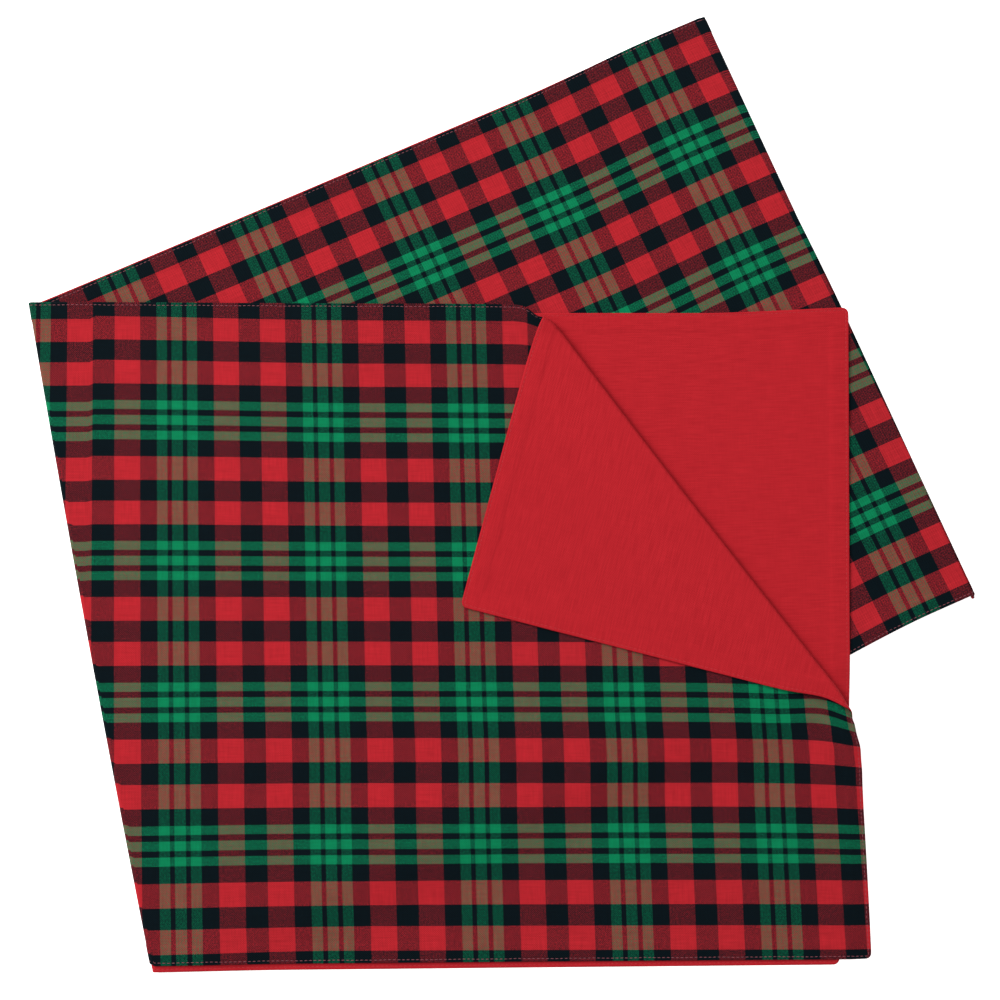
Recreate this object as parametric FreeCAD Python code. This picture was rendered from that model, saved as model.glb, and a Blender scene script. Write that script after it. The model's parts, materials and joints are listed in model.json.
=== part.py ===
import FreeCAD, Part
import math
import os
from FreeCAD import Vector

# A lined table runner, folded in half across its length and then folded again at a slanted line, with
# the corner of its uppermost end turned back.  Millimetres, +Z up.  The origin is the middle of the
# bounding box, on the surface that the runner lies on.
#
# It is one long strip of two plies: a plaid face cloth and a plain lining, sewn together round the
# outside.  From one end of the strip to the other it lies in four layers: the upper end, the lowest
# layer, the layer over that, and the under end.  The two layers between the ends are the back half, and
# the two ends are the front half.
#
# Working frame: X runs along the front half, and the origin is the middle of the slanted fold.  The back
# half is made along its own length and then turned round that point.

# driving dimensions: the strip
runner_width = 381.0            # 15 in
back_length = 477.0             # from the slanted fold to the crease, along the middle of the strip
upper_length = 445.0            # from the slanted fold to the end of the uppermost layer
under_length = 437.0            # from the slanted fold to the end of the layer below it
fold_lean = 11.8                # degrees between the slanted fold and the straight-across direction
upper_end_skew = 0.7            # degrees that each end is out of square
under_end_skew = -1.75
under_slip = 2.9                # how far the under end shows past the upper end at the front edge
hem_corner_radius = 5.0

# driving dimensions: the turned-back corner
turned_along_side = 181.5       # length of each edge of the turned-back corner
turned_along_end = 228.5
crease_drop = 234.0             # how far the crease runs down from the strip's side edge
crease_run = 176.5              # how far it runs along the strip
crease_start = 261.4            # where it starts on the side edge, from the middle of the fold
end_bulge = 3.2                 # the upper end's edge is pulled in beside the crease and bulges below it
end_bulge_at = 60.0             # how far below the crease it bulges most
crease_inset = 2.2              # from the crease's outermost line to the line that the corner turns about
crease_rise = 3.4               # the crease is a soft roll, this high between the middles of its layers

# driving dimensions: cloth and thread
cloth_thickness = 0.45
seam_depth = 0.2                # room between the two cloths, which the seam allowance keeps open
layer_gap = 0.3                 # air between one layer and the next
stitch_inset = 1.5              # from the edge to the row of edge stitching
stitch_width = 0.5
stitch_depth = 0.15             # the thread sinks into the cloth
seam_inset = 0.3
seam_width = 0.6
drape_run = 20.0                # the front half comes down to the table over this distance
drape_start = 1.0

# worked out
half_width = runner_width / 2
ply = 2 * cloth_thickness + seam_depth
pitch = ply + layer_gap
under_z = 2 * pitch             # underside of the under end
upper_z = 3 * pitch
corner_z = 4 * pitch
total_height = corner_z + ply
back_fold_z = pitch - layer_gap / 2
side_fold_z = 2 * pitch - layer_gap / 2
corner_fold_z = corner_z - layer_gap / 2
corner_hinge_z = upper_z + ply / 2 + crease_rise / 2
inner_radius = layer_gap / 2
side_fold_radius = side_fold_z
back_turn = 2 * fold_lean
lean = math.radians(fold_lean)
reach = 700.0                   # longer than any edge, for cutting solids
hair = 0.01                     # closer than this, two points count as one


def plan_face(corners):
    wire = Part.makePolygon([Vector(x, y, 0) for x, y in corners] + [Vector(*corners[0], 0)])
    return Part.Face(wire)


def rounded_prism(corners, rounded):
    """Upright prism over an outline, with the named corners rounded."""
    prism = plan_face(corners).extrude(Vector(0, 0, reach))
    prism.translate(Vector(0, 0, -reach / 2))
    edges = []
    for edge in prism.Edges:
        foot = edge.valueAt(edge.FirstParameter)
        upright = abs(edge.tangentAt(edge.FirstParameter).z) > 0.9
        near = [c for c in rounded if math.hypot(foot.x - c[0], foot.y - c[1]) < hair]
        if upright and near:
            edges.append(edge)
    if edges:
        prism = prism.makeFillet(hem_corner_radius, edges)
    return prism


def turned_to_back(shape):
    """From the back half's own frame, with X along its length, to the working frame."""
    turned = shape.copy()
    turned.rotate(Vector(0, 0, 0), Vector(0, 0, 1), back_turn)
    return turned


def strip_along(p, q, reach_in, reach_out):
    """Upright wall along the line p to q: reach_in on its left and reach_out on its right."""
    length = math.hypot(q[0] - p[0], q[1] - p[1])
    wall = Part.makeBox(length + reach, reach_in + reach_out, reach)
    wall.translate(Vector(-reach / 2, -reach_out, -reach / 2))
    wall.rotate(Vector(0, 0, 0), Vector(0, 0, 1), math.degrees(math.atan2(q[1] - p[1], q[0] - p[0])))
    wall.translate(Vector(p[0], p[1], 0))
    return wall


def edge_row(prism, inset, width, open_lines):
    """Upright ribbon a given distance inside a prism's sides, left out along its folds."""
    floor = min(prism.Faces, key=lambda face: face.CenterOfMass.z)
    outer = floor.makeOffset2D(-inset)
    inner = floor.makeOffset2D(-inset - width)
    ribbon = outer.cut(inner).extrude(Vector(0, 0, reach))
    for p, q in open_lines:
        ribbon = ribbon.cut(strip_along(p, q, 2 * inset + width, 2 * inset + width))
    return ribbon


def flat_slab(low, thickness):
    slab = Part.makeBox(2 * reach, 2 * reach, thickness)
    slab.translate(Vector(-reach, -reach, low))
    return slab


def draped_slab(low, thickness):
    """A sheet at a given height that steps down to the table past the back half's front edge."""
    start = -half_width - drape_start
    foot = start - drape_run
    line = [(reach, 0), (start, 0), (foot, -under_z), (-reach, -under_z)]
    outline = [(y, low + z) for y, z in line]
    outline += [(y, low + z + thickness) for y, z in reversed(line)]
    wire = Part.makePolygon([Vector(-reach, y, z) for y, z in outline + outline[:1]])
    return turned_to_back(Part.Face(wire).extrude(Vector(2 * reach, 0, 0)))


def hairpin_slab(inside, outside):
    """The back half's two layers and the crease that joins them, between two radii of the crease."""
    solids = []
    for radius in (outside, inside):
        crease_x = back_length - back_fold_outer
        legs = Part.makeBox(reach + crease_x, 2 * reach, 2 * radius)
        legs.translate(Vector(-reach, -reach, back_fold_z - radius))
        turn = Part.makeCylinder(radius, 2 * reach, Vector(crease_x, -reach, back_fold_z), Vector(0, 1, 0))
        solids.append(legs.fuse(turn).removeSplitter())
    return solids[0].cut(solids[1])


def half_ring(start, end, height, inside, outside, side):
    """Half a tube along a fold line, open on the side that its layers leave from."""
    p = Vector(start[0], start[1], height)
    q = Vector(end[0], end[1], height)
    ring = Part.makeCylinder(outside, (q - p).Length, p, q - p)
    ring = ring.cut(Part.makeCylinder(inside, (q - p).Length, p, q - p))
    reach_in, reach_out = (0, reach / 2) if side == "right" else (reach / 2, 0)
    return ring.cut(strip_along(start, end, reach_in, reach_out))


def along(p, q, distance, sideways):
    """Point at a distance along p to q, and then sideways to the left of it."""
    length = math.hypot(q[0] - p[0], q[1] - p[1])
    dx, dy = (q[0] - p[0]) / length, (q[1] - p[1]) / length
    return (p[0] + distance * dx - sideways * dy, p[1] + distance * dy + sideways * dx)


def moved(p, q, sideways):
    """The line p to q moved sideways to its left."""
    length = math.hypot(q[0] - p[0], q[1] - p[1])
    return along(p, q, 0, sideways), along(p, q, length, sideways)


def on_line(p, q, y):
    return (p[0] + (q[0] - p[0]) * (y - p[1]) / (q[1] - p[1]), y)


back_fold_outer = ply + inner_radius

# the slanted fold, from the far edge to the near edge, in the working frame
fold_far = (-half_width * math.tan(lean), half_width)
fold_near = (half_width * math.tan(lean), -half_width)
hinge_far, hinge_near = moved(fold_far, fold_near, side_fold_radius)
clear_far, clear_near = moved(fold_far, fold_near, side_fold_radius + layer_gap)

# the crease of the turned-back corner and the corner's tip
crease_far = (crease_start, half_width)
crease_near = (crease_start + crease_run, half_width - crease_drop)
crease_length = math.hypot(crease_run, crease_drop)
tip_along = (turned_along_side ** 2 + crease_length ** 2 - turned_along_end ** 2) / (2 * crease_length)
tip_out = math.sqrt(turned_along_side ** 2 - tip_along ** 2)
corner_tip = along(crease_far, crease_near, tip_along, -tip_out)
pin_far, pin_near = moved(crease_far, crease_near, -crease_inset)
free_far, free_near = moved(crease_far, crease_near, -crease_inset - layer_gap)


# outlines of the panels
def end_corner(length, skew, y):
    return (length - y * math.tan(math.radians(skew)), y)


upper_near = end_corner(upper_length, upper_end_skew, -half_width)
upper_outline = [
    on_line(clear_far, clear_near, half_width),
    on_line(free_far, free_near, half_width),
    along(crease_near, upper_near, 0, -hair),
    along(crease_near, upper_near, end_bulge_at, end_bulge),
    upper_near,
    on_line(clear_far, clear_near, -half_width),
]
cut_edge = (free_far, free_near)

under_side = half_width - under_slip
under_far = end_corner(under_length, under_end_skew, under_side)
under_near = end_corner(under_length, under_end_skew, under_side - runner_width)
under_outline = [
    on_line(clear_far, clear_near, under_side),
    under_far,
    under_near,
    on_line(clear_far, clear_near, under_side - runner_width),
]

corner_outline = [crease_far, crease_near, corner_tip]

back_near_x = -half_width * math.tan(lean) + side_fold_radius / math.cos(lean)
back_far_x = half_width * math.tan(lean) + side_fold_radius / math.cos(lean)
back_outline = [
    (back_near_x, -half_width),
    (back_length, -half_width),
    (back_length, half_width),
    (back_far_x, half_width),
]

# the solids of each piece, by node
pieces = {}


def add(node, *solids):
    pieces.setdefault(node, []).extend(solids)


def sew_plates(suffix, prism, rows, seams, slab, low, face_up):
    """Face cloth, lining, joining seam and edge stitching of one layer."""
    face_low = low + cloth_thickness + seam_depth if face_up else low
    lining_low = low if face_up else low + cloth_thickness + seam_depth
    stitch_low = face_low + cloth_thickness - stitch_depth if face_up else face_low
    stitches = slab(stitch_low, stitch_depth).common(rows)
    add("face_cloth_" + suffix, slab(face_low, cloth_thickness).common(prism).cut(stitches))
    add("lining_" + suffix, slab(lining_low, cloth_thickness).common(prism))
    add("edge_stitching_" + suffix, stitches)
    add("joining_seam_" + suffix, slab(low + cloth_thickness, seam_depth).common(seams))


# back half: two layers joined by the crease at their right
back_prism = rounded_prism(back_outline, [])
back_lines = [(back_outline[0], back_outline[3]), (back_outline[1], back_outline[2])]
back_stitch_ribbons = []
back_seam_ribbons = []
for side in (-1, 1):
    for inset, width, ribbons in (
        (stitch_inset, stitch_width, back_stitch_ribbons),
        (seam_inset, seam_width, back_seam_ribbons),
    ):
        ribbon = Part.makeBox(2 * reach, width, reach)
        middle = side * (half_width - inset - width / 2)
        ribbon.translate(Vector(-reach, middle - width / 2, -reach / 2))
        ribbons.append(ribbon)
face_inside = back_fold_outer - cloth_thickness
lining_outside = inner_radius + cloth_thickness
back_face = hairpin_slab(face_inside, back_fold_outer).common(back_prism)
stitch_shell = hairpin_slab(back_fold_outer - stitch_depth, back_fold_outer).common(back_prism)
seam_shell = hairpin_slab(lining_outside, face_inside).common(back_prism)
for ribbon in back_stitch_ribbons:
    row = stitch_shell.common(ribbon)
    back_face = back_face.cut(row)
    add("edge_stitching_back", turned_to_back(row))
for ribbon in back_seam_ribbons:
    add("joining_seam_back", turned_to_back(seam_shell.common(ribbon)))
add("face_cloth_back", turned_to_back(back_face))
add("lining_back", turned_to_back(hairpin_slab(inner_radius, lining_outside).common(back_prism)))

# front half: the upper end, plaid side up, over the under end, lining side up
for name, outline, rounded, low, face_up in (
    ("upper_end", upper_outline, [upper_near], upper_z, True),
    ("under_end", under_outline, [under_far, under_near], under_z, False),
):
    prism = rounded_prism(outline, rounded)
    folds = [(hinge_far, hinge_near)]
    if face_up:
        prism = prism.cut(strip_along(*cut_edge, reach / 2, 0))
        folds.append(cut_edge)
    rows = edge_row(prism, stitch_inset, stitch_width, folds)
    seams = edge_row(prism, seam_inset, seam_width, folds)
    sew_plates(name, prism, rows, seams, draped_slab, low, face_up)

# the turned-back corner, lining side up
corner_prism = rounded_prism(corner_outline, [corner_tip]).cut(strip_along(*cut_edge, reach / 2, 0))
corner_rows = edge_row(corner_prism, stitch_inset, stitch_width, [cut_edge])
corner_seams = edge_row(corner_prism, seam_inset, seam_width, [cut_edge])
sew_plates("corner", corner_prism, corner_rows, corner_seams, flat_slab, corner_z, False)

# the bends: at the slanted fold one pair of cloths goes round the other, and at the turned-back corner
# the lining is outermost
side_fold = (hinge_far, hinge_near, side_fold_z)
corner_fold = (pin_far, pin_near, corner_fold_z)
outer_lining = side_fold_radius - ply
outer_face = side_fold_radius - cloth_thickness
for node, fold, side, inside in (
    ("face_cloth_outer_fold", side_fold, "left", outer_face),
    ("lining_outer_fold", side_fold, "left", outer_lining),
    ("lining_inner_fold", side_fold, "left", face_inside),
    ("face_cloth_inner_fold", side_fold, "left", inner_radius),
    ("lining_corner_crease", corner_fold, "right", face_inside),
    ("face_cloth_corner_crease", corner_fold, "right", inner_radius),
):
    add(node, half_ring(*fold, inside, inside + cloth_thickness, side))

# from the working frame to the finished one
box = FreeCAD.BoundBox()
for solids in pieces.values():
    for solid in solids:
        box.add(solid.optimalBoundingBox(False, False))
to_centre = Vector(-box.Center.x, -box.Center.y, 0)

os.makedirs("parts", exist_ok=True)
for node, solids in sorted(pieces.items()):
    loose = []
    for shape in solids:
        loose.extend(shape.Solids)
    group = Part.makeCompound(loose)
    group.translate(to_centre)
    group.exportStep("parts/" + node + ".step")
    print(node, len(loose), "solids", round(group.Volume, 1), "mm3, valid", group.isValid())

print("size", round(box.XLength, 2), round(box.YLength, 2), round(box.ZLength, 2))
print("origin of the working frame", round(to_centre.x, 3), round(to_centre.y, 3))
for name, line, height in (
    ("side_fold", (hinge_far, hinge_near), total_height / 2),
    ("corner_turn", (pin_far, pin_near), corner_hinge_z),
):
    p = Vector(*line[0], height) + to_centre
    q = Vector(*line[1], height) + to_centre
    axis = (q - p).normalize()
    print(name, "pos_m", [round(v / 1000, 6) for v in p], "axis", [round(v, 6) for v in axis])
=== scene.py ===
import json
import math

import bmesh
import bpy
import numpy as np
from mathutils import Matrix, Vector


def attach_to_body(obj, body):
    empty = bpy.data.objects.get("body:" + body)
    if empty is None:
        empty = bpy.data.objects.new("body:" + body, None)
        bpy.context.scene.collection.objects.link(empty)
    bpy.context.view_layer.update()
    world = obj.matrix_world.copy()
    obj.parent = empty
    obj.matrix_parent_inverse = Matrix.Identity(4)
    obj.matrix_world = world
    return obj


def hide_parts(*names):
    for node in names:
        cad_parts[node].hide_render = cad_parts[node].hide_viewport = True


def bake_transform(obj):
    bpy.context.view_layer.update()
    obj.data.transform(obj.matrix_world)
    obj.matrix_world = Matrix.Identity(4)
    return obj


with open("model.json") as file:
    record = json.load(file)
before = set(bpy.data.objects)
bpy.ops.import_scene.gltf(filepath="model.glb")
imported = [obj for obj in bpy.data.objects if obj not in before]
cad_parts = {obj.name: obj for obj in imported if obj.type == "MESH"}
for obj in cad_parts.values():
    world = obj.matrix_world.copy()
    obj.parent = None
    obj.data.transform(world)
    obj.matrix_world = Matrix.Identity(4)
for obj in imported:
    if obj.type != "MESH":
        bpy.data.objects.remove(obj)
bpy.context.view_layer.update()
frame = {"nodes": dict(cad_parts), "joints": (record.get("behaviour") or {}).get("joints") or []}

# A lined table runner lying folded: a plaid face cloth and a plain red lining, sewn together round the
# outside.  Each cloth is made flat, as one strip with X along its length and Y across its width, and then
# laid along its folds by lay().  Metres, except where a name ends in _mm.

MM = 0.001

# ---------------------------------------------------------------- the strip and its folds
width = 0.381
back_length = 0.477             # from the slanted fold to the crease, along the middle of the strip
upper_length = 0.445            # from the slanted fold to the end of the uppermost layer
under_length = 0.437            # from the slanted fold to the end of the layer below it
upper_end_slope = 0.0122        # how far each end is out of square, per unit of width
under_end_slope = 0.0306
on_under_end = 1.8              # any distance along the flat strip that lies on the layer below

lowest_z = 0.72 * MM            # middle of the lowest layer
pitch = 1.38 * MM               # from the middle of one layer to the middle of the next
back_z = lowest_z + pitch
upper_z = lowest_z + 3 * pitch
fold_z = lowest_z + 1.5 * pitch
back_fold_z = lowest_z + 0.5 * pitch
outer_radius = 1.5 * pitch      # the slanted fold's outer bend, to the middle of the two cloths
inner_radius = 0.5 * pitch      # its inner bend, and the crease at the back half's end
roll_radius = 2.0 * MM          # the turned-back corner's soft crease, and how much looser at its far end
loose_radius = 1.0 * MM
roll_reach = 10 * MM            # no flat point further than this past the crease is on the roll
corner_radius = 3.6 * MM
fold_margin = 5 * MM            # flat cloth that belongs to a bend's piece, on each side of it

# the fold lines come from the frame's joints
joints = {joint["name"]: joint for joint in frame["joints"]}
fold_axis = Vector(joints["side_fold"]["axis"])
fold_far = Vector(joints["side_fold"]["pos_m"])
pin_axis = -Vector(joints["corner_turn"]["axis"])
lean = math.atan2(fold_axis.x, -fold_axis.y)
fold_inset = 2.65 * MM          # from the slanted fold's outermost line to the line that it turns about
fold_inward = Vector((-fold_axis.y, fold_axis.x, 0))
fold_middle = fold_far + fold_axis * (width / 2 / math.cos(lean)) - fold_inward * fold_inset
pin_far = Vector(joints["corner_turn"]["pos_m"]) - fold_middle
sin_lean, cos_lean = math.sin(lean), math.cos(lean)
sin_back, cos_back = math.sin(2 * lean), math.cos(2 * lean)
crease_inset = 2.2 * MM         # from the corner crease's outermost line to the line that it turns about
crease_line = back_length - inner_radius - 0.6 * MM

# the back half's front edge, which the front half drapes over
edge_x, edge_y = width / 2 * math.tan(lean), -width / 2
drape_start, drape_run = 1 * MM, 34 * MM

# the turned-back corner is swung a little about the crease's far end, which gathers the cloth beside it
corner_swing = 0.028            # radians
swing_fades_over = 30 * MM      # before the crease
swing_starts_at = 120 * MM      # from the slanted fold, and it is whole this much further on
swing_starts_over = 100 * MM
crease_past_pin = 1.8 * MM      # from the line through the joint to where the crease is folded
crease_end = (440.5 * MM, -46.8 * MM)   # where the crease meets the strip's end
crease_top = 260.5 * MM         # and where it meets the strip's side
roll_loosens_over = 22 * MM     # along the crease from its far end
corner_settles_over = 26 * MM   # past the roll, down to the layer below
roll_holds_up_over = 32 * MM    # before the roll, where it keeps the cloth from draping
cloth_taken_up = 1.012          # the turned-back corner lies this much further out than it measures flat

# the gathers at the crease's near end: soft waves that run out from it
gather_middle = (432 * MM, -60 * MM)
gather_spread = 19 * MM
gather_height = 1.3 * MM
gather_wave = 1.9 * MM          # length of a wave, over two pi
gather_across = (0.59, 0.81)    # direction across the waves

# how the uppermost layer is drawn out of square
hem_draw = 0.0185               # the hem at the end makes it this much narrower
end_stretch = 1.0045
pull_spread = 24 * MM           # round the crease's near end, which is pulled towards the front and inwards
pull_forward = 3.0 * MM
pull_inward = 1.6 * MM
hump_middle = (423 * MM, -46 * MM)  # beside that end the cloth stands off the pull
hump_spread = 17 * MM
hump_back = 3.4 * MM
lip_width = 7.5 * MM            # the rounded lip at the crease's far end
lip_depth = 13 * MM
lip_drop = 7.0 * MM
end_bulge_at = -72 * MM         # the end's edge stands out below the crease
end_bulge_spread = 20 * MM
end_bulge = 1.0 * MM
side_tug = 1.2 * MM             # the whole layer but its far side sits this much forward

# how the back half lies less square than it was cut
low_slack = 1.9 * MM            # away from the crease its lowest layer sits this much forward
over_slack = 3.0 * MM           # and the layer over that one
crease_back = 0.4 * MM          # beside the crease both sit this much back
crease_corner_back = 1.6 * MM   # and this much more at its near end
crease_bow = 4.9 * MM           # the crease stands out towards its near end, from this much inside
crease_inside = 3.0 * MM

# the slanted fold is bowed outwards by its own springiness: all of it, and its middle this much more
fold_out = 1.3 * MM
fold_middle_out = 1.5 * MM
fold_half_length = 195 * MM
fold_bow_fades_over = 50 * MM

# how the under end sags and lies out of square
far_sag = 4.4 * MM
near_sag = 3.0 * MM
near_rise = 4.0 * MM
under_end_out = 1.8 * MM
under_end_swing = 0.0144        # radians, between the two distances across that follow
swing_from, swing_to = 59 * MM, -50 * MM
under_corner_back = 4.1 * MM


def smooth(t):
    t = np.clip(t, 0.0, 1.0)
    return t * t * (3 - 2 * t)


def from_pin(x, y):
    """Distance past the corner's crease, towards the strip's far corner."""
    return (x - pin_far.x) * -pin_axis.y + (y - pin_far.y) * pin_axis.x + crease_past_pin


def back_shift(a, b, slack):
    """The back half lies less square than it was cut: its slack below the far edge, and its end's bow."""
    near_crease = smooth((a - 0.35) / 0.10)
    back = crease_back + crease_corner_back * smooth((-0.1 - b) / 0.09)
    shift_b = near_crease * back - slack * (1 - near_crease)
    out = crease_bow * smooth((0.19 - b) / 0.2) - crease_inside
    return smooth((a - 0.30) / 0.16) * out, shift_b


def trace(x, y, shifted=False):
    """Follows a flat point through the folds.  How far it is past each bend's start, and where it lies."""
    t, q = x * sin_lean - y * cos_lean, x * cos_lean + y * sin_lean
    past_outer = fold_inset - q
    q4 = fold_inset + past_outer - math.pi * outer_radius
    x4, y4 = t * sin_lean + q4 * cos_lean, -t * cos_lean + q4 * sin_lean
    a4, b = x4 * cos_back + y4 * sin_back, -x4 * sin_back + y4 * cos_back
    past_crease = a4 - crease_line
    a3 = crease_line - past_crease + math.pi * inner_radius
    b3 = b
    if shifted:
        shift_a, shift_b = back_shift(a4, b, low_slack * smooth((a4 + 0.02) / 0.08))
        a4, b4 = a4 + shift_a, b + shift_b
        x4, y4 = a4 * cos_back - b4 * sin_back, a4 * sin_back + b4 * cos_back
        shift_a, shift_b = back_shift(a3, b, over_slack)
        a3, b3 = a3 + shift_a, b + shift_b
    x3, y3 = a3 * cos_back - b3 * sin_back, a3 * sin_back + b3 * cos_back
    t3, q3 = x3 * sin_lean - y3 * cos_lean, x3 * cos_lean + y3 * sin_lean
    past_inner = fold_inset - q3
    q2 = fold_inset + past_inner - math.pi * inner_radius
    return past_outer, past_crease, past_inner, t, (x4, y4), b, (x3, y3), t3, q2


def end_u(y):
    """Where the strip's two ends are along the flat cloth, at a distance from its middle line."""
    t, q = trace(upper_length - on_under_end, 0.0)[-2:]
    end = on_under_end + under_length - t * sin_lean - q * cos_lean
    return y * upper_end_slope, end + y * under_end_slope


def bend(past, radius):
    return np.clip(past / radius, 0.0, math.pi)


def swung(x, y, share=1.0):
    """Swings flat points about the crease's far end."""
    top_x, top_y = pin_far.x - crease_inset * pin_axis.y, width / 2
    return x + (y - top_y) * corner_swing * share, y - (x - top_x) * corner_swing * share


def past_corner_crease(x, y):
    return from_pin(*swung(x, y))


def fold_bow(x, y):
    """Bows the slanted fold outwards."""
    t, q = x * sin_lean - y * cos_lean, x * cos_lean + y * sin_lean
    bow = fold_out + fold_middle_out * np.clip(1 - (t / fold_half_length) ** 2, 0, 1)
    bow = bow * np.exp(-np.clip(q, 0, 1) / fold_bow_fades_over)
    return x - bow * cos_lean, y - bow * sin_lean


def swell(x, y):
    """How much fuller than its plain thickness the stack lies at a place: soft, slow waves."""
    q = x * cos_lean + y * sin_lean
    waves = (
        np.sin(x / 0.041 + 0.7) * np.cos(y / 0.053 - 0.4)
        + 0.6 * np.sin(x / 0.027 - y / 0.034 + 1.9)
        + 0.5 * np.cos(x / 0.019 + y / 0.061)
    )
    still = smooth((q - 12 * MM) / 0.05) * smooth((np.abs(from_pin(x, y)) - 8 * MM) / 0.04)
    return 1.06 + 0.045 * waves * still


def rounded(u, v):
    """Rounds the strip's four corners: a square at each one is squeezed into a quarter of a disc."""
    start, end = end_u(width / 2 - v)
    to_end, to_side = np.minimum(u - start, end - u), np.minimum(v, width - v)
    p, q = 1 - np.clip(to_end / corner_radius, 0, 1), 1 - np.clip(to_side / corner_radius, 0, 1)
    shift_u = corner_radius * p * (1 - np.sqrt(1 - q * q / 2))
    shift_v = corner_radius * q * (1 - np.sqrt(1 - p * p / 2))
    from_start, from_far_side = u - start < end - u, v < width - v
    return u + np.where(from_start, shift_u, -shift_u), v + np.where(from_far_side, shift_v, -shift_v)


def near(x, y, place, spread):
    """How close points are to a place: 1 at it, and fading softly round it."""
    return np.exp(-((x - place[0]) ** 2 + (y - place[1]) ** 2) / spread**2)


def edge_drop(x, y):
    """How far the front half falls where it drapes over the back half's front edge."""
    off_edge = (x - edge_x) * sin_back - (y - edge_y) * cos_back
    return 2 * pitch * smooth((off_edge - drape_start) / drape_run)


def lay_upper(x, y, n, past):
    """Lays the uppermost layer, its turned-back corner and the roll between them."""
    along_crease = (x - pin_far.x) * pin_axis.x + (y - pin_far.y) * pin_axis.y
    radius = roll_radius + loose_radius * np.exp(-np.clip(along_crease, 0, 1) / roll_loosens_over)
    turn = bend(past, radius)
    beyond = np.maximum(past - math.pi * radius, 0.0)
    rolled = radius - n
    out = np.where(past > 0, rolled * np.sin(turn) - cloth_taken_up * beyond - past, 0.0)
    place_x, place_y = x - out * pin_axis.y, y + out * pin_axis.x
    settle = (2 * radius - pitch) * (1 - np.exp(-((beyond / corner_settles_over) ** 2)))
    roll_z = upper_z + radius - rolled * np.cos(turn) - settle
    place_z = np.where(past > 0, roll_z, upper_z + n)

    # it drapes over the back half's front edge and the end of the layer below, and gathers at the crease
    off_end = x - under_length - y * under_end_slope
    end_drop = pitch * smooth((off_end - 1 * MM) / (12 * MM))
    held_up = np.exp(-((np.minimum(past, 0) / roll_holds_up_over) ** 2))
    wave = np.sin((x * gather_across[0] + y * gather_across[1]) / gather_wave + 0.6)
    gathers = gather_height * near(x, y, gather_middle, gather_spread) * (1 + wave)
    draped = gathers - (edge_drop(x, y) + end_drop) * (1 - held_up)
    place_z = place_z + np.where(past < 0, draped, 0.0)

    # it is drawn out of square by its hems, by the crease and by its own weight
    to_end = np.clip(place_x / upper_length, 0, 1)
    pulled = near(place_x, place_y, crease_end, pull_spread)
    hump = near(place_x, place_y, hump_middle, hump_spread)
    lip = np.exp(-(((place_x - crease_top) / lip_width) ** 2) - (width / 2 - place_y) / lip_depth)
    place_y = place_y * (1 - hem_draw * to_end) - pull_forward * pulled + hump_back * hump - lip_drop * lip
    place_y = place_y - side_tug * smooth((0.17 - place_y) / 0.1)
    bulge = np.exp(-(((place_y - end_bulge_at) / end_bulge_spread) ** 2)) * to_end
    place_x = place_x * end_stretch + end_bulge * bulge - pull_inward * pulled**3
    return place_x, place_y, place_z


def slacken_under_end(x, y):
    """The under end sags between its ends, and its own end isn't quite square."""
    to_end = np.clip(x / under_length, 0, 1)
    far_side = 0.5 + y / width
    sag = far_side * far_sag * (1 - smooth((to_end - 0.8) / 0.3))
    sag = (sag + (1 - far_side) * (near_sag - near_rise * to_end)) * smooth((x + 0.03) / 0.06)
    out = under_end_out + (swing_from - np.maximum(y, swing_to)) * under_end_swing
    out = out - under_corner_back * smooth((-0.08 - y) / 0.1)
    return x + out * to_end, y - sag


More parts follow.
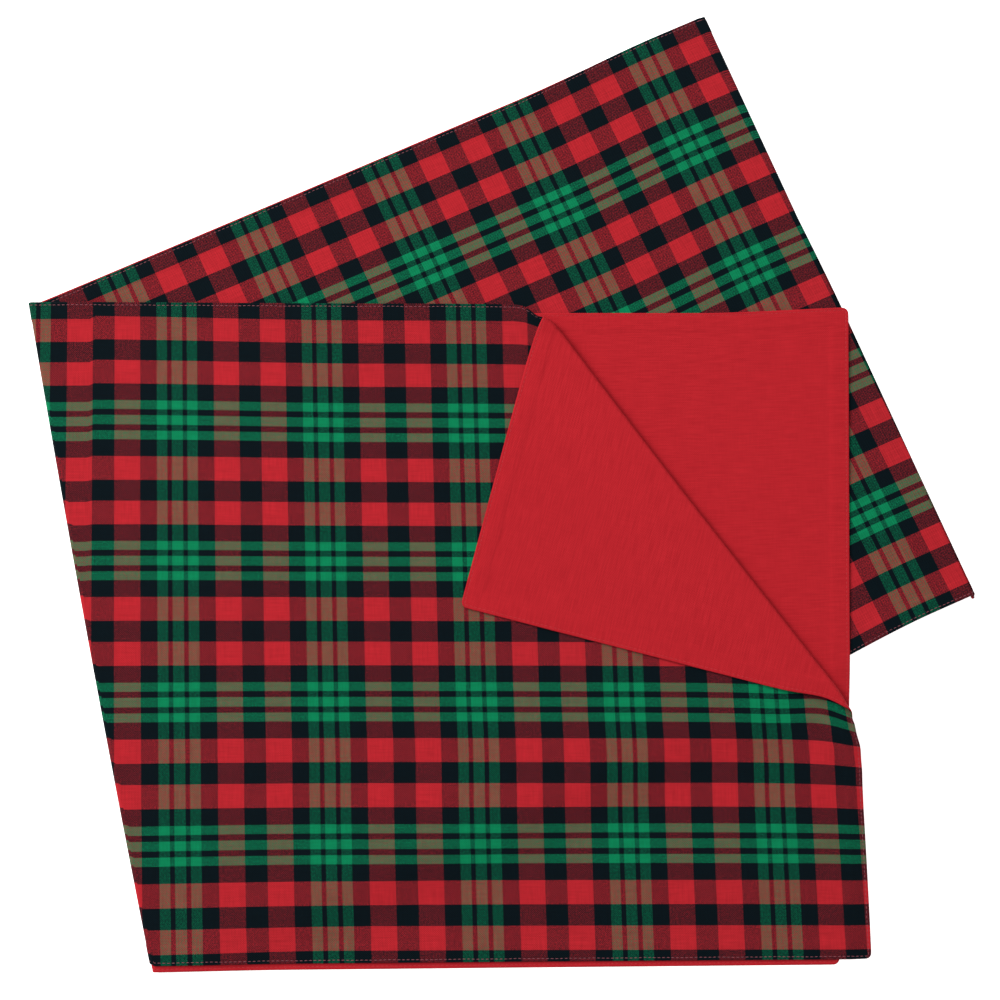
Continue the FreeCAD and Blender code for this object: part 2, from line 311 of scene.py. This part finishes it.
def lay(u, v, n):
    """Lays flat points down: u along the strip, v across it, n from its middle towards the plaid side."""
    u, v = rounded(u, v)
    x, y = upper_length - u, width / 2 - v
    past = past_corner_crease(x, y)
    fade = np.exp(np.minimum(past, 0) / swing_fades_over)
    x, y = swung(x, y, fade * smooth((x - swing_starts_at) / swing_starts_over))
    outer, crease, inner, t, low, b, over, t3, q2 = trace(x, y, shifted=True)
    place_x, place_y, place_z = lay_upper(x, y, n, past)

    # the slanted fold's outer bend, and the lowest layer
    turn = bend(outer, outer_radius)
    on_bend = outer > 0
    q = fold_inset - (outer_radius + n) * np.sin(turn)
    place_x = np.where(on_bend, t * sin_lean + q * cos_lean, place_x)
    place_y = np.where(on_bend, -t * cos_lean + q * sin_lean, place_y)
    place_z = np.where(on_bend, fold_z + (outer_radius + n) * np.cos(turn), place_z)
    on_low = outer > math.pi * outer_radius
    place_x, place_y = np.where(on_low, low[0], place_x), np.where(on_low, low[1], place_y)
    place_z = np.where(on_low, lowest_z - n, place_z)

    # the crease, and the layer over the lowest
    turn = bend(crease, inner_radius)
    on_crease = on_low & (crease > 0)
    a = crease_line + (inner_radius + n) * np.sin(turn)
    place_x = np.where(on_crease, a * cos_back - b * sin_back, place_x)
    place_y = np.where(on_crease, a * sin_back + b * cos_back, place_y)
    place_z = np.where(on_crease, back_fold_z - (inner_radius + n) * np.cos(turn), place_z)
    on_over = on_low & (crease > math.pi * inner_radius)
    place_x, place_y = np.where(on_over, over[0], place_x), np.where(on_over, over[1], place_y)
    place_z = np.where(on_over, back_z + n, place_z)

    # the slanted fold's inner bend, and the under end
    turn = bend(inner, inner_radius)
    on_inner = on_over & (inner > 0)
    q = fold_inset - (inner_radius - n) * np.sin(turn)
    q = np.where(inner > math.pi * inner_radius, q2, q)
    under_x, under_y = slacken_under_end(t3 * sin_lean + q * cos_lean, -t3 * cos_lean + q * sin_lean)
    place_x, place_y = np.where(on_inner, under_x, place_x), np.where(on_inner, under_y, place_y)
    under_drop = edge_drop(place_x, place_y)
    place_z = np.where(on_inner, fold_z - (inner_radius - n) * np.cos(turn) - under_drop, place_z)

    place_x, place_y = fold_bow(place_x, place_y)
    place_z = place_z * swell(place_x, place_y)
    return np.stack([place_x + fold_middle.x, place_y + fold_middle.y, place_z], axis=-1)


# ---------------------------------------------------------------- the sections of the strip
def sections(u, v):
    """The section that each flat point belongs to."""
    x, y = upper_length - u, width / 2 - v
    outer, crease, inner = trace(x, y)[:3]
    past = past_corner_crease(x, y)
    names = np.full(u.shape, "upper_end", dtype=object)
    names[past > -fold_margin] = "corner_crease"
    names[past > roll_reach + fold_margin] = "corner"
    names[outer > -fold_margin] = "outer_fold"
    names[outer > math.pi * outer_radius + fold_margin] = "back"
    after = outer > 0.3
    names[after & (inner > -fold_margin)] = "inner_fold"
    names[after & (inner > math.pi * inner_radius + fold_margin)] = "under_end"
    return names


hem_marks = np.array([0, 0.1, 0.25, 0.5, 0.85, 1.2, 1.6, 2.0, 2.6, 5, 8, 10.2, 11.0, 11.8, 13]) * MM
grid_step = 3.3 * MM
cloth_thickness = 0.36 * MM


def ruler(length):
    """Where the grid's lines are across a length: close together at the two hems."""
    clear = length - 2 * hem_marks[-1]
    middle = np.linspace(0, clear, round(clear / grid_step) + 1) + hem_marks[-1]
    return np.concatenate([hem_marks, middle[1:-1], (length - hem_marks)[::-1]])


def hem_distance(u, v):
    start, end = end_u(width / 2 - v)
    return np.minimum(np.minimum(v, width - v), np.minimum(u - start, end - u))


# half the distance between the middles of the two cloths
loft_at_edge = 0.20 * MM
loft_inside = 0.06 * MM         # added past the edge's rounding
loft_of_allowance = 0.22 * MM   # and added over the seam allowances
edge_rounding = 0.5 * MM
allowance_width = 10.2 * MM
allowance_fades_over = 1.2 * MM
stitch_inset = 1.6 * MM         # from the edge to the row of stitches, which pulls the cloth in
stitch_dimple = 0.10 * MM
dimple_spread = 0.4 * MM


def half_loft(u, v):
    """Distance of each cloth from the middle of the two: full at the hem, where the allowances are."""
    d = hem_distance(u, v)
    edge = np.sqrt(np.clip(1 - (1 - np.clip(d / edge_rounding, 0, 1)) ** 2, 0, 1))
    allowance = 1 - smooth((d - allowance_width) / allowance_fades_over)
    dimple = stitch_dimple * np.exp(-(((d - stitch_inset) / dimple_spread) ** 2))
    return loft_at_edge + edge * (loft_inside + loft_of_allowance * allowance - dimple)


def flat_strip():
    """One cloth laid flat, cut by lines along every bend so that the bends come out round."""
    length = end_u(0.0)[1]
    across, along = ruler(width), ruler(length)
    starts, ends = end_u(width / 2 - across)
    bm = bmesh.new()
    bmesh.ops.create_grid(bm, x_segments=len(along) - 1, y_segments=len(across) - 1, size=1.0)
    for vert in bm.verts:
        i = round((vert.co.x + 1) / 2 * (len(along) - 1))
        j = round((vert.co.y + 1) / 2 * (len(across) - 1))
        vert.co.x = starts[j] + along[i] / length * (ends[j] - starts[j])
        vert.co.y = across[j]

    def cut(value, place, steps, reach):
        """Cuts along lines of equal distance past a bend's start; place is any flat point near it."""
        here, step = np.array(place), 10 * MM
        base = value(*here)
        slope = np.array([value(here[0] + step, here[1]), value(here[0], here[1] + step)])
        slope = (slope - base) / step
        beside = [k * fold_margin / 3 for k in (1, 2, 3)]
        for mark in [-k for k in beside] + list(np.linspace(0, reach, steps)) + [reach + k for k in beside]:
            point = here + slope * (mark - base) / (slope @ slope)
            bmesh.ops.bisect_plane(
                bm,
                geom=bm.verts[:] + bm.edges[:] + bm.faces[:],
                dist=0.02 * MM,
                plane_co=(point[0], point[1], 0),
                plane_no=(slope[0], slope[1], 0),
            )

    for k, (steps, radius) in enumerate(((13, outer_radius), (9, inner_radius), (9, inner_radius))):
        past_fold = lambda u, v: trace(upper_length - u, width / 2 - v)[k]
        cut(past_fold, (upper_length + k * back_length, width / 2), steps, math.pi * radius)
    cut(lambda u, v: past_corner_crease(upper_length - u, width / 2 - v), (0.1, 0.11), 21, roll_reach)
    mesh = bpy.data.meshes.new("flat_strip")
    bm.to_mesh(mesh)
    bm.free()
    return mesh


# the plaid's threads: the check's repeat, and how its crosswise stripes run off the square
repeat_along = 84.65 * MM
repeat_across = 81.0 * MM
first_stripe_along = 59.5 * MM
first_stripe_across = 70.2 * MM
hidden_stretch = 24.6 * MM      # between the slanted fold and the crease, on the lowest layer
end_stretch_back = 2.4 * MM     # and just past the crease
weave_skew = ([0.0, 0.45, 0.915, 1.39, 1.83], [0.029, 0.029, 0.0267, 0.0267, 0.031])
weave_fan = 0.0095              # the lengthwise stripes spread this much at the slanted fold
weave_slack = 2.2 * MM          # and run this much forward at the end
turned_in = 0.9 * MM            # cloth that the hem's roll takes in at the far side


def threads(u, v):
    """Thread coordinates of flat points: the weave is a little skewed, and differently in each half."""
    skew = np.interp(u, *weave_skew)
    drift = hidden_stretch * smooth((u - 0.455) / 0.455) - end_stretch_back * smooth((u - 0.95) / 0.1)
    # the crease was folded along a bowed line, so the stripes run straight on where the cloth's edge bows
    past_crease = u - upper_length - back_length
    bowed = back_shift(back_length - np.abs(past_crease), width / 2 - v, 0.0)[0]
    drift = drift - np.where(past_crease > 0, bowed, bowed * smooth(1 + past_crease / 0.4))
    fan = weave_fan * (1 - smooth((upper_length - u) / 0.15)) * (u < upper_length)
    slack = weave_slack * np.clip(1 - u / upper_length, 0, 1) * v / width
    rolled_in = turned_in * np.exp(-v / (1.5 * MM))
    return u + skew * v + drift, v - fan * (v - width / 2) - slack + rolled_in


def get_points(mesh):
    points = np.zeros(len(mesh.vertices) * 3)
    mesh.vertices.foreach_get("co", points)
    return points.reshape(-1, 3)


def finish_mesh(bm, name, material):
    mesh = bpy.data.meshes.new(name)
    bm.to_mesh(mesh)
    bm.free()
    mesh.shade_smooth()
    mesh.materials.append(material)
    piece = bpy.data.objects.new(name, mesh)
    bpy.context.scene.collection.objects.link(piece)
    return piece


def cloth_section(strip, name, section, side, material):
    """One section of a cloth, cut from the flat strip, given its threads' coordinates and laid down."""
    bm = bmesh.new()
    bm.from_mesh(strip)
    others = [face for face, at in zip(bm.faces, strip_sections) if at != section]
    bmesh.ops.delete(bm, geom=others, context="FACES")
    area = sum(face.calc_area() for face in bm.faces)
    for edge in bm.edges:
        edge.smooth = not edge.is_boundary
    piece = finish_mesh(bm, name, material)
    flat = get_points(piece.data)
    u, v = flat[:, 0], flat[:, 1]
    corners = np.zeros(len(piece.data.loops), dtype=int)
    piece.data.loops.foreach_get("vertex_index", corners)
    at = np.stack(threads(u, v), axis=-1)[corners]
    piece.data.uv_layers.new(name="threads").data.foreach_set("uv", at.ravel())
    laid = lay(u, v, side * half_loft(u, v))
    piece.data.vertices.foreach_set("co", laid.ravel())
    piece.data.update()
    shell = piece.modifiers.new("cloth_thickness", "SOLIDIFY")
    shell.thickness = cloth_thickness
    shell.offset = 0.0
    return piece, float(area)


# ---------------------------------------------------------------- thread
stitches_in_block = 24


def stitch_rows(inset, stitch, gap, half_width, half_height, levels, rings):
    """Rows of stitches round all four sides of the flat strip, and the section that each vertex is in."""
    bm = bmesh.new()
    start, end = end_u(width / 2), end_u(-width / 2)
    corners = [
        Vector((start[0] + inset, inset)), Vector((start[1] - inset, inset)),
        Vector((end[1] - inset, width - inset)), Vector((end[0] + inset, width - inset)),
    ]
    for first, last in zip(corners, corners[1:] + corners[:1]):
        blocks = round((last - first).length / (stitch + gap) / stitches_in_block)
        stride = (last - first) / (blocks * stitches_in_block)
        turn = Matrix.Rotation(math.atan2(stride.y, stride.x), 4, "Z")
        size = Matrix.Diagonal((stride.length / 2 * stitch / (stitch + gap), half_width, half_height, 1))
        for level in levels:
            place = Matrix.Translation((first + stride / 2).to_3d() + Vector((0, 0, level)))
            block = bmesh.new()
            made = bmesh.ops.create_uvsphere(
                block, u_segments=rings[0], v_segments=rings[1], radius=1.0, matrix=place @ turn @ size
            )["verts"]
            per_stitch = len(made)
            bmesh.ops.spin(
                block,
                geom=block.verts[:] + block.edges[:] + block.faces[:],
                cent=(0, 0, 0),
                axis=(0, 0, 1),
                dvec=stride.to_3d(),
                angle=0.0,
                steps=stitches_in_block - 1,
                use_duplicate=True,
            )
            block_mesh = bpy.data.meshes.new("block")
            block.to_mesh(block_mesh)
            block.free()
            for k in range(blocks):
                before = len(bm.verts)
                bm.from_mesh(block_mesh)
                bm.verts.ensure_lookup_table()
                shift = (stride * stitches_in_block * k).to_3d()
                bmesh.ops.translate(bm, verts=bm.verts[before:], vec=shift)
            bpy.data.meshes.remove(block_mesh)
    mesh = bpy.data.meshes.new("rows")
    bm.to_mesh(mesh)
    bm.free()
    centres = get_points(mesh).reshape(-1, per_stitch, 3).mean(axis=1)
    return mesh, np.repeat(sections(centres[:, 0], centres[:, 1]), per_stitch)


def thread_section(rows, name, section, on_surface, materials):
    """The stitches of one section, laid on the cloths' outer surfaces or between the cloths."""
    mesh, at = rows
    bm = bmesh.new()
    bm.from_mesh(mesh)
    bmesh.ops.delete(bm, geom=[vert for vert, here in zip(bm.verts, at) if here != section], context="VERTS")
    piece = finish_mesh(bm, name, materials[0])
    for material in materials[1:]:
        piece.data.materials.append(material)
    flat = get_points(piece.data)
    u, v, n = flat.T
    wander = 0.08 * MM * np.sin(u / 0.0057 + v / 0.0083) + 0.06 * MM * np.sin(u / 0.0023)
    if on_surface:
        heights = np.array([face.center[2] for face in piece.data.polygons])
        piece.data.polygons.foreach_set("material_index", (heights < 0).astype(int))
        n = n + np.sign(n) * half_loft(u, v)
    piece.data.vertices.foreach_set("co", lay(u, v + wander, n).ravel())
    piece.data.update()
    return piece


# ---------------------------------------------------------------- materials
def linear(hex_colour):
    """sRGB hex to linear RGBA."""
    values = [int(hex_colour[i : i + 2], 16) / 255 for i in (1, 3, 5)]
    return [c / 12.92 if c <= 0.04045 else ((c + 0.055) / 1.055) ** 2.4 for c in values] + [1.0]


def node(tree, kind, inputs=None, **settings):
    """Adds a node; inputs maps a socket's name or number to a value or to another node's output."""
    made = tree.nodes.new(kind)
    for name, value in settings.items():
        setattr(made, name, value)
    for key, value in (inputs or {}).items():
        if isinstance(value, bpy.types.NodeSocket):
            tree.links.new(value, made.inputs[key])
        else:
            made.inputs[key].default_value = value
    return made


thread_spacing = 0.62 * MM      # a little coarser than such cloth has, so that it shows
slub_length = 14.0 * MM         # how far a yarn stays thicker or thinner than its neighbours
slub_width = 0.8 * MM           # about two yarns
fleck_size = 0.85 * MM          # where the two colours of a crossing show as specks
thread_relief = 0.25 * MM
crosswise_share = 0.40          # of the face where two yarns cross, the part that crosswise yarn covers
weave_share = 0.22              # how much that changes from one crossing to the next


def weave(tree):
    """Thread coordinates of a plain weave, its over-and-under, and the unevenness of its yarns each way."""
    uv = node(tree, "ShaderNodeUVMap", uv_map="threads").outputs[0]
    split = node(tree, "ShaderNodeSeparateXYZ", {0: uv})
    waves = []
    for coordinate in split.outputs[:2]:
        turns = {0: coordinate, 1: math.pi / thread_spacing}
        beat = node(tree, "ShaderNodeMath", turns, operation="MULTIPLY").outputs[0]
        waves.append(node(tree, "ShaderNodeMath", {0: beat}, operation="SINE").outputs[0])
    over = node(tree, "ShaderNodeMath", {0: waves[0], 1: waves[1]}, operation="MULTIPLY").outputs[0]
    yarns = []
    for along, across in ((slub_length, slub_width), (slub_width, slub_length)):
        placed = node(tree, "ShaderNodeMapping", {0: uv, "Scale": (1 / along, 1 / across, 1.0)}).outputs[0]
        slubs = node(tree, "ShaderNodeTexNoise", {"Vector": placed, "Scale": 1.0, "Detail": 2.0})
        yarns.append(slubs.outputs[0])
    return uv, split.outputs[0], split.outputs[1], over, yarns


def cloth_shader(tree, colour, height):
    """Matt cotton: hardly any gloss, and a low relief of threads."""
    bump = node(tree, "ShaderNodeBump", {"Height": height, "Strength": 0.35, "Distance": thread_relief})
    looks = {"Base Color": colour, "Roughness": 0.92, "Specular IOR Level": 0.1, "Normal": bump.outputs[0]}
    shader = node(tree, "ShaderNodeBsdfPrincipled", looks)
    node(tree, "ShaderNodeOutputMaterial", {"Surface": shader.outputs[0]})


def new_material(name):
    material = bpy.data.materials.new(name)
    material.use_nodes = True
    material.node_tree.nodes.clear()
    return material, material.node_tree


def stripe_ramp(tree, coordinate, first, repeat, widths, colours):
    """Colour of the yarns along one direction: stripes mirrored about the middle of the green ones."""
    from_first = node(tree, "ShaderNodeMath", {0: coordinate, 1: first}, operation="SUBTRACT").outputs[0]
    away = node(tree, "ShaderNodeMath", {0: from_first, 1: repeat / 2}, operation="PINGPONG").outputs[0]
    share = node(tree, "ShaderNodeMath", {0: away, 1: repeat / 2}, operation="DIVIDE").outputs[0]
    ramp = node(tree, "ShaderNodeValToRGB", {0: share})
    ramp.color_ramp.interpolation = "CONSTANT"
    total = sum(widths)
    edges = [sum(widths[:k]) / total for k in range(len(widths))]
    stops = ramp.color_ramp.elements
    while len(stops) < len(widths):
        stops.new(0.5)
    for stop, edge, colour in zip(stops, edges, colours):
        stop.position = edge
        stop.color = linear(colour)
    return ramp.outputs[0]


def plaid_cotton():
    """Yarn-dyed cotton homespun, plain woven: where two colours cross, both show as a fine speckle."""
    material, tree = new_material("plaid_cotton")
    uv, along, across, over, yarns = weave(tree)
    red, black, green = "#a41e26", "#000b11", "#037249"
    order = [green, black, green, black, red, black]
    crosswise_mm, lengthwise_mm = [3.05, 2.65, 6.0, 9.75, 14.8, 6.4], [2.6, 3.5, 5.2, 9.8, 13.8, 6.15]
    crosswise = stripe_ramp(tree, along, first_stripe_along, repeat_along, crosswise_mm, order)
    lengthwise = stripe_ramp(tree, across, first_stripe_across, repeat_across, lengthwise_mm, order)
    # two yarns side by side look darker than their mean, because the gaps between them are in shade
    eye = 0.52
    lengthwise = node(tree, "ShaderNodeGamma", {0: lengthwise, 1: eye}).outputs[0]
    crosswise = node(tree, "ShaderNodeGamma", {0: crosswise, 1: eye}).outputs[0]
    # which yarn is on top: turn and turn about with the weave, and by chance where the yarns are uneven
    specks = {"Vector": uv, "Scale": 1 / fleck_size, "Detail": 1.0}
    fleck = node(tree, "ShaderNodeTexNoise", specks).outputs[0]
    chance = node(tree, "ShaderNodeMath", {0: fleck, 1: 0.5}, operation="SUBTRACT").outputs[0]
    turns = {0: over, 1: weave_share, 2: crosswise_share}
    regular = node(tree, "ShaderNodeMath", turns, operation="MULTIPLY_ADD").outputs[0]
    share = node(tree, "ShaderNodeMath", {0: chance, 1: regular}, operation="ADD").outputs[0]
    mixed = node(tree, "ShaderNodeMix", {0: share, 6: lengthwise, 7: crosswise}, data_type="RGBA")
    mixed = node(tree, "ShaderNodeGamma", {0: mixed.outputs[2], 1: 1 / eye}).outputs[0]
    uneven = node(tree, "ShaderNodeMath", {0: yarns[0], 1: yarns[1]}, operation="ADD").outputs[0]
    value = node(tree, "ShaderNodeMath", {0: uneven, 1: 0.5, 2: 0.5}, operation="MULTIPLY_ADD").outputs[0]
    worn = node(tree, "ShaderNodeHueSaturation", {"Color": mixed, "Value": value}).outputs[0]
    height = node(tree, "ShaderNodeMath", {0: over, 1: uneven}, operation="ADD").outputs[0]
    cloth_shader(tree, worn, height)
    return material


def red_cotton():
    """Plain red cotton sheeting, plain woven and matt, with slightly uneven yarns both ways."""
    material, tree = new_material("red_cotton")
    over, yarns = weave(tree)[3:]
    # the lengthwise yarns are the more uneven, so the cloth is faintly streaked along the strip
    fine = node(tree, "ShaderNodeMath", {0: yarns[1], 1: 0.5}, operation="MULTIPLY").outputs[0]
    coarse = node(tree, "ShaderNodeMath", {0: yarns[0], 1: 1.5}, operation="MULTIPLY").outputs[0]
    uneven = node(tree, "ShaderNodeMath", {0: coarse, 1: fine}, operation="ADD").outputs[0]
    tone = node(tree, "ShaderNodeMath", {0: uneven, 1: 0.5}, operation="MULTIPLY").outputs[0]
    ramp = node(tree, "ShaderNodeValToRGB", {0: tone})
    ramp.color_ramp.elements[0].position = 0.36
    ramp.color_ramp.elements[0].color = linear("#9f1921")
    ramp.color_ramp.elements[1].position = 0.66
    ramp.color_ramp.elements[1].color = linear("#ae1f27")
    height = node(tree, "ShaderNodeMath", {0: over, 1: uneven}, operation="ADD").outputs[0]
    cloth_shader(tree, ramp.outputs[0], height)
    return material


thread_twist = 0.4 * MM


def sewing_thread(name, colours):
    """Spun polyester thread: a soft sheen, and a slight change of tone along a fine twist, partly the twist
    and partly painted highlight.
    """
    material, tree = new_material(name)
    place = node(tree, "ShaderNodeTexCoord").outputs["Object"]
    twist_and_highlight = node(tree, "ShaderNodeTexNoise", {"Vector": place, "Scale": 1 / thread_twist, "Detail": 1.0})
    # the lighter of the two colours is partly painted highlight on the thread's twist
    ramp = node(tree, "ShaderNodeValToRGB", {0: twist_and_highlight.outputs[0]})
    ramp.color_ramp.elements[0].color = linear(colours[0])
    ramp.color_ramp.elements[1].color = linear(colours[1])
    looks = {"Base Color": ramp.outputs[0], "Roughness": 0.6, "Specular IOR Level": 0.3, "Sheen Weight": 0.1}
    shader = node(tree, "ShaderNodeBsdfPrincipled", looks)
    node(tree, "ShaderNodeOutputMaterial", {"Surface": shader.outputs[0]})
    return material


plaid = plaid_cotton()
red = red_cotton()
# each thread's dark colour, and a lighter one that is partly painted highlight
topstitch = sewing_thread("spun_polyester_rose", ("#6a2f39", "#935058"))
bobbin_thread = sewing_thread("spun_polyester_scarlet", ("#9b1920", "#b02129"))
seam_thread = sewing_thread("spun_polyester_red", ("#8a1b22", "#a2262d"))

# ---------------------------------------------------------------- making the pieces
bodies = {
    "upper_end": ("front_half",),
    "under_end": ("front_half",),
    "back": ("back_half",),
    "corner": ("turned_corner",),
    "outer_fold": ("back_half", "front_half"),
    "inner_fold": ("back_half", "front_half"),
    "corner_crease": ("front_half", "turned_corner"),
}


def attach(piece, section):
    """Rides a section on its body; a section that lies between two bodies is baked in place, fixed where it
    lies.
    """
    if len(bodies[section]) == 1:
        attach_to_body(piece, bodies[section][0])
    else:
        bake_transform(piece)


strip = flat_strip()
centres = np.array([face.center[:2] for face in strip.polygons])
strip_sections = sections(centres[:, 0], centres[:, 1])
edge_rows = stitch_rows(
    inset=stitch_inset, stitch=2.1 * MM, gap=0.5 * MM, half_width=0.2 * MM, half_height=0.14 * MM,
    levels=(-0.16 * MM, 0.16 * MM), rings=(6, 4),
)
seam_rows = stitch_rows(
    inset=0.4 * MM, stitch=1.9 * MM, gap=0.4 * MM, half_width=0.12 * MM, half_height=0.08 * MM,
    levels=(0.0,), rings=(4, 3),
)
made = {}
for section in bodies:
    pieces = {}
    for kind, side, material, slot in (
        ("face_cloth", 1, plaid, "plaid_cotton"),
        ("lining", -1, red, "red_cotton"),
    ):
        piece, area = cloth_section(strip, f"{kind}_{section}_sewn", section, side, material)
        attach(piece, section)
        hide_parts(f"{kind}_{section}")
        pieces[kind] = (piece, area)
    for kind, rows, on_surface, materials, slot in (
        ("edge_stitching", edge_rows, True, (topstitch, bobbin_thread), "stitching_thread"),
        ("joining_seam", seam_rows, False, (seam_thread,), "seam_thread"),
    ):
        piece = thread_section(rows, f"{kind}_{section}_sewn", section, on_surface, materials)
        attach(piece, section)
        if f"{kind}_{section}" in frame["nodes"]:
            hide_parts(f"{kind}_{section}")
        pieces[kind] = (piece, None)
    made[section] = pieces
bpy.data.meshes.remove(strip)
bpy.data.meshes.remove(edge_rows[0])
bpy.data.meshes.remove(seam_rows[0])

for section, pieces in made.items():
    for kind in ("face_cloth", "lining"):
        piece, area = pieces[kind]

# ---------------------------------------------------------------- floor, light and camera
scene = bpy.context.scene
scene.view_settings.view_transform = "Standard"

bm = bmesh.new()
bmesh.ops.create_grid(bm, x_segments=1, y_segments=1, size=4.0)
# opal acrylic, as a light table's top: matt and white, and it glows a little, so shadows on it are pale
opal, tree = new_material("opal_acrylic")
looks = {"Base Color": linear("#fbfbfa"), "Roughness": 1.0}
glow = {"Emission Color": linear("#ffffff"), "Emission Strength": 0.8}
white = node(tree, "ShaderNodeBsdfPrincipled", looks | glow)
node(tree, "ShaderNodeOutputMaterial", {"Surface": white.outputs[0]})
floor = finish_mesh(bm, "floor", opal)

world = bpy.data.worlds.new("studio")
scene.world = world
world.use_nodes = True
sky = world.node_tree.nodes["Background"]
sky.inputs["Color"].default_value = (1, 1, 1, 1)
sky.inputs["Strength"].default_value = 0.50

# one large soft lamp, up at the far left
lamp = bpy.data.lights.new("soft_box", "AREA")
lamp.energy = 124
lamp.size = 2.0
light = bpy.data.objects.new("soft_box", lamp)
light.location = (-1.8, 1.25, 2.05)
light.rotation_mode = "QUATERNION"
light.rotation_quaternion = light.location.to_track_quat("Z", "Y")
scene.collection.objects.link(light)

camera_data = bpy.data.cameras.new("camera")
camera_data.lens = 54.0
camera_data.clip_end = 20.0
camera = bpy.data.objects.new("camera", camera_data)
camera_distance = 0.8787
aim = fold_middle + Vector((0.2374, 0.0738, 0))
aim.z = 0
tilt = math.radians(5.2)        # nearly straight down, from a little in front
away = Vector((0, -math.sin(tilt), math.cos(tilt)))
camera.location = aim + away * camera_distance
camera.rotation_euler = (tilt, 0, 0)
scene.collection.objects.link(camera)
scene.camera = camera
